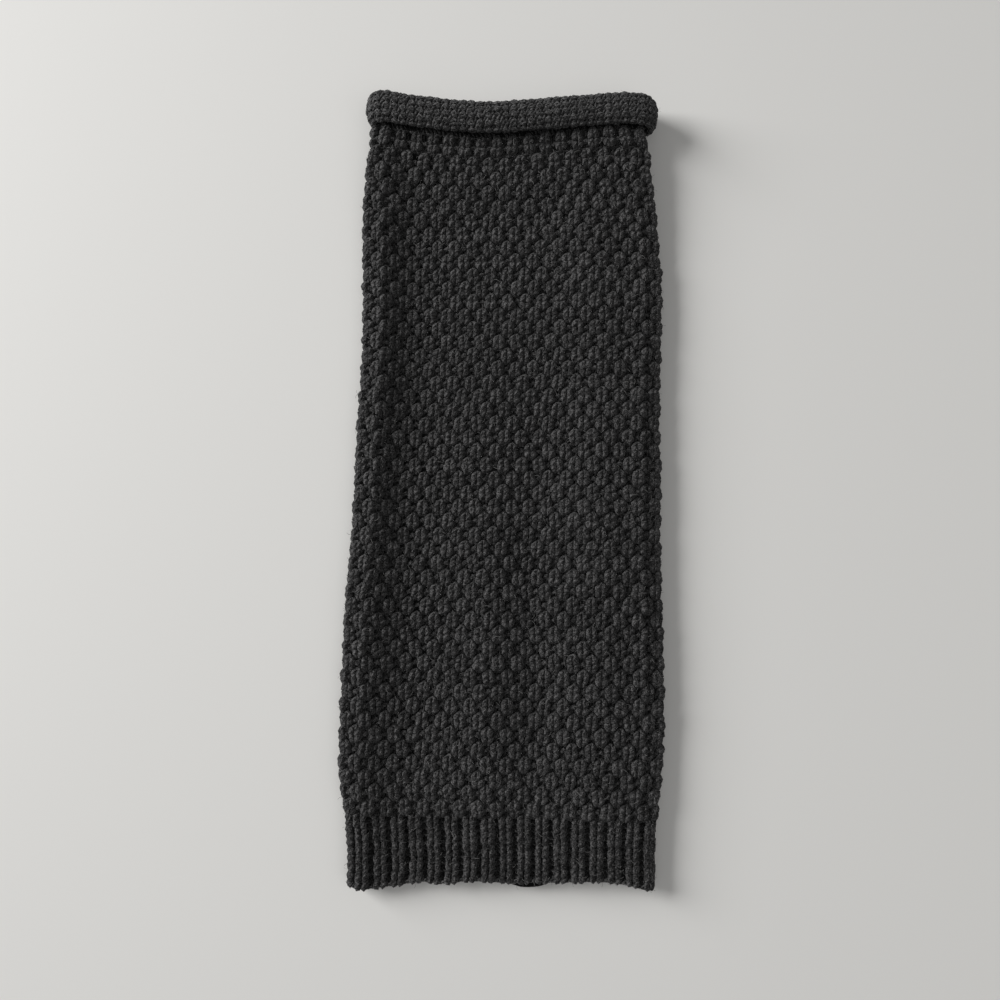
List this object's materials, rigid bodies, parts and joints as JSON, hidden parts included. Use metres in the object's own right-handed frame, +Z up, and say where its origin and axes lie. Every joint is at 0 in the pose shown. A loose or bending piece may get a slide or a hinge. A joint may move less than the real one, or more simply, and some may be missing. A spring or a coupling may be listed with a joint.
{
  "type": "leg warmer, one of a pair, laid flat",
  "caption": "Knitted tube for the lower leg, laid flat, with a moss stitch body, a ribbed cuff at one end and a rolled edge at the other.",
  "frame": {"origin": "centre of the outline, on the surface that the leg warmer lies on", "axes": "+Z up from the surface; +Y along the leg, towards the rolled top edge; +X across, to the right as seen from the cuff"},
  "size_m": [0.1605, 0.3928, 0.0197],
  "materials": {
    "moss_knit": "charcoal wool blend yarn, double moss stitch",
    "rib_knit": "charcoal wool blend yarn, 1x1 rib",
    "roll_knit": "charcoal wool blend yarn, stocking stitch, purl side out"
  },
  "bodies": {
    "root": {"rolled_edge": "roll_knit", "leg": "moss_knit", "ribbed_cuff": "rib_knit"}
  },
  "joints": []
}
